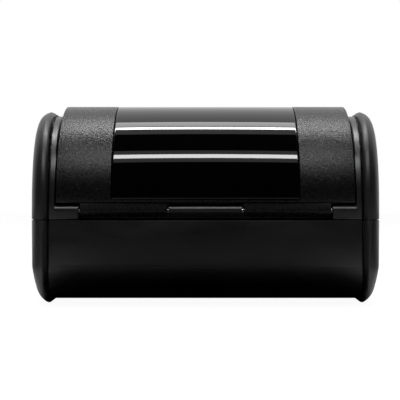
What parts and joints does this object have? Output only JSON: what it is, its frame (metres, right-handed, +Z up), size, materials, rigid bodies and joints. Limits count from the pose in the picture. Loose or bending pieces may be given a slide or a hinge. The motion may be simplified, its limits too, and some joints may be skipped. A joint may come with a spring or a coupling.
{
  "type": "label printer",
  "caption": "Portable label printer with a rear-hinged lid and wrap-round window, rubber side bumpers, a platen and print head, sliding roll guides and a slide-out battery.",
  "frame": {"origin": "on the table, under the middle of the printer", "axes": "+Z up, -Y towards the hinged rear that the picture shows, +Y towards the paper exit, +X to the right in the picture"},
  "size_m": [0.1584, 0.174, 0.092],
  "materials": {
    "case_plastic": "satin, near black",
    "lid_plastic": "fine spark-eroded grain, near black",
    "window": "polished, black",
    "bumper_rubber": "satin, dark grey",
    "panel_film": "satin film",
    "key_plastic": "fine texture",
    "dark_plastic": "moulded",
    "gear_plastic": "natural acetal",
    "roller_rubber": "ground, matte",
    "steel": "turned or rolled",
    "zinc_sheet": "zinc plated",
    "aluminium": "extruded",
    "brass": "plain",
    "ceramic": "glazed",
    "light_pipe": "clear, frosted",
    "board_green": "solder resist",
    "chip_black": "moulded",
    "film_amber": "polyimide film",
    "wire_red": "insulation"
  },
  "bodies": {
    "printer_base": {"lower_case": "case_plastic", "upper_case": "case_plastic", "bumper_upper_left": "bumper_rubber", "bumper_upper_right": "bumper_rubber", "bumper_lower_left": "bumper_rubber", "bumper_lower_right": "bumper_rubber", "case_screws": "steel", "hinge_pin": "steel", "print_chassis": "zinc_sheet", "chassis_screws": "steel", "head_pivot": "steel", "head_springs": "steel", "motor_body": "zinc_sheet", "idler_stub": "steel", "media_bay": "dark_plastic", "bay_screws": "steel", "guide_pinion_screw": "steel", "label_sensor": "chip_black", "tear_bar": "steel", "control_panel": "panel_film", "status_lights": "light_pipe", "button_board": "board_green", "battery_contacts": "brass", "main_board": "board_green", "board_chips": "chip_black", "board_connectors": "gear_plastic", "board_screws": "steel", "power_jack": "chip_black", "usb_socket": "steel", "port_cover_pin": "steel", "head_ribbon": "film_amber", "motor_wires": "wire_red"},
    "lid": {"lid_shell": "lid_plastic", "lid_window": "window", "lid_frame": "zinc_sheet", "lid_screws": "steel", "platen_bushes": "gear_plastic"},
    "platen": {"platen_shaft": "steel", "platen_rubber": "roller_rubber", "platen_gear": "gear_plastic"},
    "idler": {"idler_gear": "gear_plastic"},
    "motor_rotor": {"motor_shaft": "steel", "motor_pinion": "brass"},
    "print_head": {"head_heatsink": "aluminium", "head_substrate": "ceramic", "head_cover": "chip_black"},
    "latch": {"latch_shaft": "steel", "latch_hooks": "dark_plastic"},
    "release": {"release_button": "key_plastic"},
    "power_key": {"power_button": "key_plastic"},
    "feed_key": {"feed_button": "key_plastic"},
    "left_guide": {"guide_left": "dark_plastic"},
    "right_guide": {"guide_right": "dark_plastic"},
    "guide_gear": {"guide_pinion": "gear_plastic"},
    "battery": {"battery_pack": "dark_plastic"},
    "battery_catch": {"battery_latch": "key_plastic"},
    "port_flap": {"port_cover": "bumper_rubber"}
  },
  "joints": [
    {"name": "lid_hinge", "type": "hinge", "parent": "printer_base", "child": "lid", "pos_m": [0, -0.0832, 0.042], "axis": [1, 0, 0], "range_deg": [0, 95]},
    {"name": "platen_spin", "type": "hinge", "parent": "lid", "child": "platen", "pos_m": [0, 0.031, 0.07], "axis": [1, 0, 0], "continuous": true},
    {"name": "idler_spin", "type": "hinge", "parent": "printer_base", "child": "idler", "pos_m": [0, 0.03863, 0.0549], "axis": [1, 0, 0], "continuous": true},
    {"name": "motor_spin", "type": "hinge", "parent": "printer_base", "child": "motor_rotor", "pos_m": [0, 0.05096, 0.04722], "axis": [1, 0, 0], "continuous": true},
    {"name": "head_swing", "type": "hinge", "parent": "printer_base", "child": "print_head", "pos_m": [0, 0.0415, 0.0585], "axis": [-1, 0, 0], "range_deg": [0, 1.5], "stiffness_Nm_per_rad": 5, "springref_deg": -3.44},
    {"name": "latch_turn", "type": "hinge", "parent": "printer_base", "child": "latch", "pos_m": [0, 0.028, 0.048], "axis": [-1, 0, 0], "range_deg": [0, 11.5]},
    {"name": "release_press", "type": "slide", "parent": "printer_base", "child": "release", "axis": [0, -0.4732, -0.8809], "range_m": [0, 0.003], "stiffness_N_per_m": 400, "springref_m": -0.002},
    {"name": "power_press", "type": "slide", "parent": "printer_base", "child": "power_key", "axis": [0, -0.4732, -0.8809], "range_m": [0, 0.001], "stiffness_N_per_m": 1500, "springref_m": -0.0004},
    {"name": "feed_press", "type": "slide", "parent": "printer_base", "child": "feed_key", "axis": [0, -0.4732, -0.8809], "range_m": [0, 0.001], "stiffness_N_per_m": 1500, "springref_m": -0.0004},
    {"name": "guide_right_slide", "type": "slide", "parent": "printer_base", "child": "right_guide", "axis": [-1, 0, 0], "range_m": [0, 0.035]},
    {"name": "guide_left_slide", "type": "slide", "parent": "printer_base", "child": "left_guide", "axis": [1, 0, 0], "range_m": [0, 0.035]},
    {"name": "guide_pinion_turn", "type": "hinge", "parent": "printer_base", "child": "guide_gear", "pos_m": [0, -0.04, 0.006], "axis": [0, 0, 1], "range_deg": [0, 418]},
    {"name": "battery_slide", "type": "slide", "parent": "printer_base", "child": "battery", "axis": [0, 1, 0], "range_m": [0, 0.072]},
    {"name": "battery_catch_lift", "type": "slide", "parent": "printer_base", "child": "battery_catch", "axis": [0, 0, 1], "range_m": [0, 0.0025], "stiffness_N_per_m": 300, "springref_m": -0.001},
    {"name": "port_flap_hinge", "type": "hinge", "parent": "printer_base", "child": "port_flap", "pos_m": [0.07724, 0.0435, 0.02], "axis": [0, 1, 0], "range_deg": [0, 90]}
  ],
  "couplings": [
    {"joint": "idler_spin", "follows": "platen_spin", "ratio": -0.75},
    {"joint": "motor_spin", "follows": "platen_spin", "ratio": 1.5},
    {"joint": "latch_turn", "follows": "release_press", "rad_per_m": 65.446},
    {"joint": "guide_left_slide", "follows": "guide_right_slide", "ratio": 1},
    {"joint": "guide_pinion_turn", "follows": "guide_right_slide", "rad_per_m": 208.33}
  ]
}
